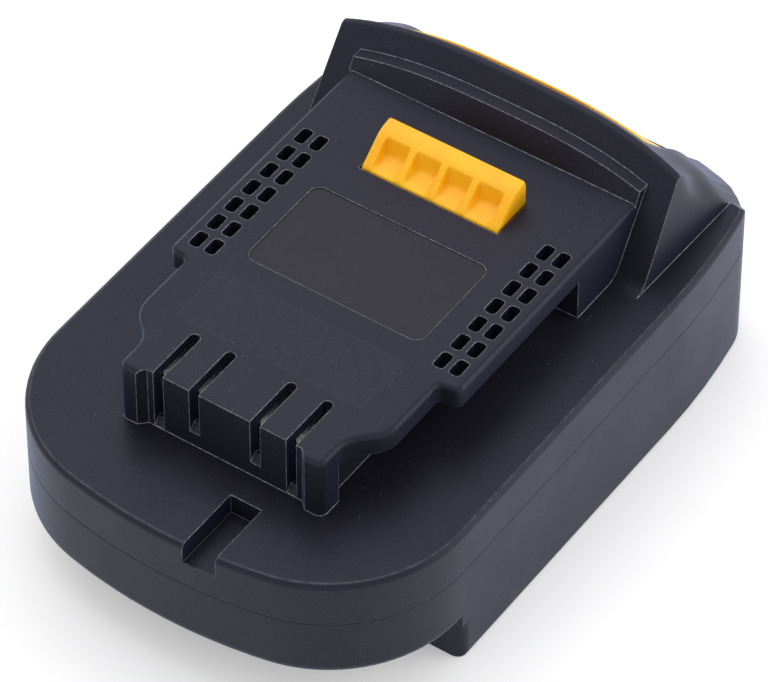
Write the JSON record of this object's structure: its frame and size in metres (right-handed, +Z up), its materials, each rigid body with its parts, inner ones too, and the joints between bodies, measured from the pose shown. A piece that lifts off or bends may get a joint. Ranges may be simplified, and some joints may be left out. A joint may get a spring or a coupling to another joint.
{
  "type": "tool battery adapter",
  "caption": "Black slide-on adapter that lets a cordless tool take another battery: rail block with terminal slots, vents and amber sprung latch above, railed battery bay below.",
  "frame": {"origin": "middle of the outline, on the plane of the skirts' feet", "axes": "+X across to the right, +Y from the terminal end to the button, +Z up out of the rail block"},
  "size_m": [0.0834, 0.1254, 0.0525],
  "materials": {
    "housing_plastic": "fine moulded texture, slightly worn edges",
    "latch_plastic": "satin moulded amber",
    "label_film": "smooth film",
    "contact_metal": "tinned, bright",
    "spring_steel": "drawn wire",
    "plated_steel": "zinc plated",
    "board_laminate": "green solder mask",
    "ivory_plastic": "plain moulded",
    "black_nylon": "plain moulded",
    "chip_resin": "moulded resin",
    "capacitor_sleeve": "shrunk sleeve",
    "ferrite": "pressed ferrite",
    "copper": "enamelled copper wire",
    "ceramic": "glazed ceramic",
    "wire_red": "soft insulation",
    "wire_black": "soft insulation",
    "wire_yellow": "soft insulation",
    "wire_white": "soft insulation"
  },
  "bodies": {
    "housing": {"upper_housing": "housing_plastic", "lower_housing": "housing_plastic", "latch_spring_left": "spring_steel", "latch_spring_right": "spring_steel", "label_panel": "label_film", "circuit_board": "board_laminate", "contact_base": "ivory_plastic", "fork_positive": "contact_metal", "fork_negative": "contact_metal", "fork_signal_left": "contact_metal", "fork_signal_right": "contact_metal", "terminal_holder": "black_nylon", "blade_positive": "contact_metal", "blade_negative": "contact_metal", "blade_signal_left": "contact_metal", "blade_signal_right": "contact_metal", "wire_positive": "wire_red", "wire_negative": "wire_black", "wire_signal_left": "wire_yellow", "wire_signal_right": "wire_white", "housing_screws": "plated_steel", "board_screws": "plated_steel", "regulator_chip": "chip_resin", "chip_leads": "contact_metal", "capacitor": "capacitor_sleeve", "coil_core": "ferrite", "coil_winding": "copper", "fuse": "ceramic", "resistors": "chip_resin", "catch_plate": "plated_steel"},
    "latch": {"release_latch": "latch_plastic"}
  },
  "joints": [
    {"name": "latch_press", "type": "slide", "parent": "housing", "child": "latch", "axis": [0, 0, 1], "range_m": [-0.0057, 0], "stiffness_N_per_m": 1200, "springref_m": 0.006, "deforming": ["latch_spring_left", "latch_spring_right"]}
  ]
}
